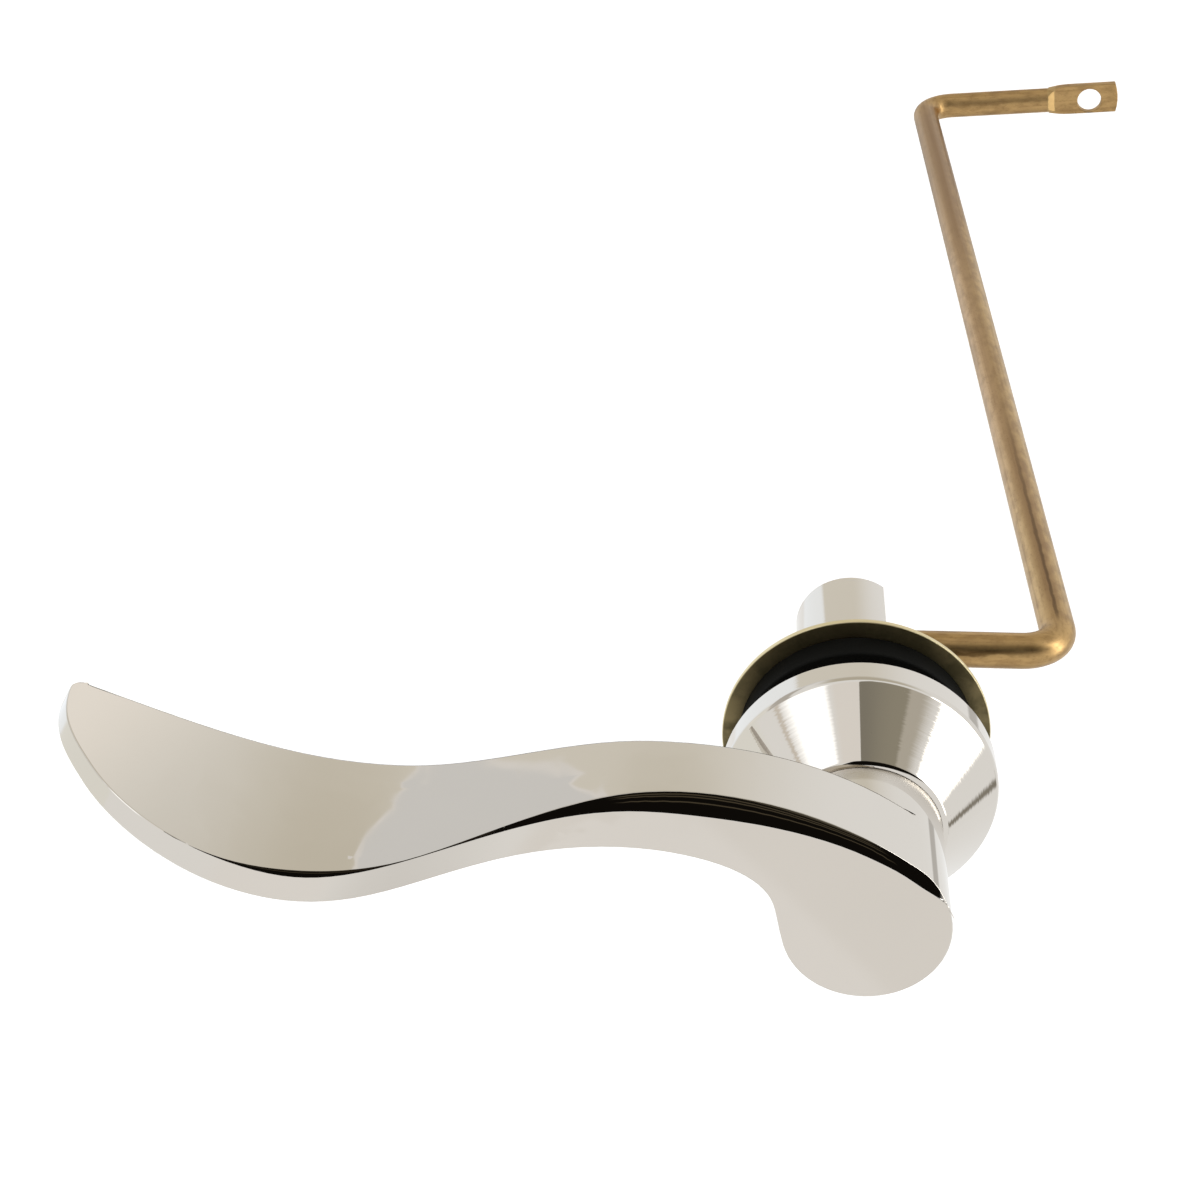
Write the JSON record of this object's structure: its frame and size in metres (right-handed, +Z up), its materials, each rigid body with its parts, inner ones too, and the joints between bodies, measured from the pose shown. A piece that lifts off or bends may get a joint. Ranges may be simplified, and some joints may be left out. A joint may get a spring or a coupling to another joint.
{
  "type": "cistern lever",
  "caption": "Side-mount cistern lever: wave-shaped polished handle on a spindle through a cone escutcheon, with a bent brass rod that lifts the flush chain.",
  "frame": {"origin": "on the spindle axis, in the plane of the escutcheon rim's back face, where it meets the tank wall", "axes": "+Y along the spindle into the tank, +Z up, +X from the handle's blade towards the rod"},
  "size_m": [0.2001, 0.3744, 0.0534],
  "materials": {
    "polished_nickel": "mirror-polished nickel plate, slightly warm",
    "drawn_brass": "satin drawn brass with fine lengthwise streaks",
    "washer_brass": "dull stamped brass with brighter edges",
    "black_rubber": "matt black rubber",
    "turned_brass": "turned brass",
    "white_nylon": "plain white nylon",
    "screw_steel": "plain dark steel"
  },
  "bodies": {
    "mounting": {"escutcheon": "polished_nickel", "threaded_shank": "turned_brass", "neck_washer": "white_nylon", "rubber_washer": "black_rubber", "brass_washer": "washer_brass", "lock_nut": "turned_brass", "end_washer": "white_nylon"},
    "lever": {"handle": "polished_nickel", "handle_set_screw": "screw_steel", "spindle": "turned_brass", "arm_socket": "polished_nickel", "socket_set_screw": "screw_steel", "arm_rod": "drawn_brass", "arm_set_screw": "screw_steel"}
  },
  "joints": [
    {"name": "handle_turn", "type": "hinge", "parent": "mounting", "child": "lever", "pos_m": [0, 0, 0], "axis": [0, -1, 0], "range_deg": [0, 30]}
  ]
}
